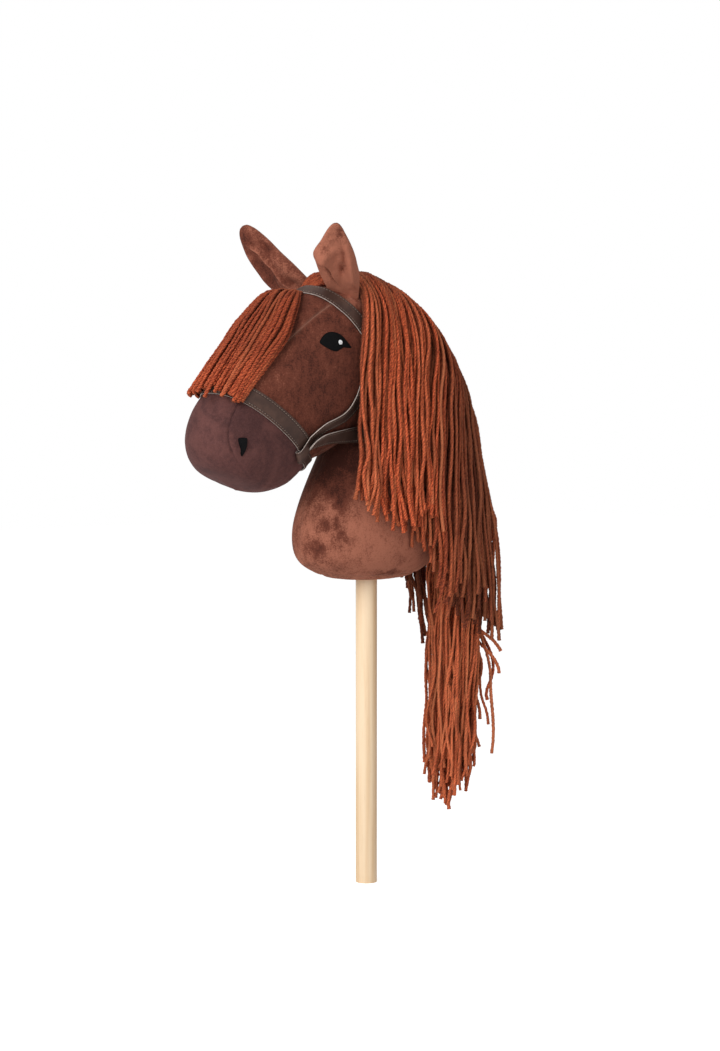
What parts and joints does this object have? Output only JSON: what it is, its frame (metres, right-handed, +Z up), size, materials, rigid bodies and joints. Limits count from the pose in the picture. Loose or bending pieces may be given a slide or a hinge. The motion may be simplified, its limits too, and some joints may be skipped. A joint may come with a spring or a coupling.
{
  "type": "hobby horse",
  "caption": "Stuffed plush horse head and neck on a wooden pole, with a yarn mane, a suede muzzle and a stitched strap halter.",
  "frame": {"origin": "centre of the pole's foot", "axes": "+Z up the pole; the horse looks along -X, and its left side is at -Y"},
  "size_m": [0.3855, 0.153, 0.6747],
  "materials": {
    "pale_wood": "satin",
    "brown_plush": "short pile",
    "plum_suede": "matte",
    "rust_yarn": "plied yarn",
    "dark_strap": "satin",
    "black_thread": "embroidered",
    "white_thread": "embroidered",
    "cotton_tape": "matte",
    "fibre_filling": "loose fibre"
  },
  "bodies": {
    "horse": {"pole": "pale_wood", "pole_sleeve": "cotton_tape", "head_filling": "fibre_filling", "neck_filling": "fibre_filling", "forehead_gusset": "brown_plush", "cheek_left": "brown_plush", "cheek_right": "brown_plush", "jaw_gusset": "brown_plush", "muzzle_gusset": "plum_suede", "muzzle_left": "plum_suede", "muzzle_right": "plum_suede", "neck_left": "brown_plush", "neck_right": "brown_plush", "neck_base": "brown_plush", "eye_left": "black_thread", "eye_right": "black_thread", "eye_glint_left": "white_thread", "eye_glint_right": "white_thread", "nostril_left": "black_thread", "nostril_right": "black_thread", "noseband": "dark_strap", "chin_strap": "dark_strap", "browband": "dark_strap", "headstall": "dark_strap", "rein": "dark_strap", "mane_tape": "cotton_tape", "mane_front_left": "rust_yarn", "mane_front_right": "rust_yarn", "mane_middle_left": "rust_yarn", "mane_middle_right": "rust_yarn", "mane_back_left": "rust_yarn", "mane_back_right": "rust_yarn", "mane_tail": "rust_yarn", "forelock": "rust_yarn"},
    "ear_left": {"ear_left_back": "brown_plush", "ear_left_lining": "brown_plush"},
    "ear_right": {"ear_right_back": "brown_plush", "ear_right_lining": "brown_plush"}
  },
  "joints": [
    {"name": "ear_left_bend", "type": "hinge", "parent": "horse", "child": "ear_left", "pos_m": [-0.05007, -0.02675, 0.60314], "axis": [0.7184, -0.6937, 0.0514], "range_deg": [-15, 15], "stiffness_Nm_per_rad": 0.1},
    {"name": "ear_right_bend", "type": "hinge", "parent": "horse", "child": "ear_right", "pos_m": [-0.05007, 0.02675, 0.60314], "axis": [0.0575, -0.8218, 0.5669], "range_deg": [-15, 15], "stiffness_Nm_per_rad": 0.1}
  ]
}
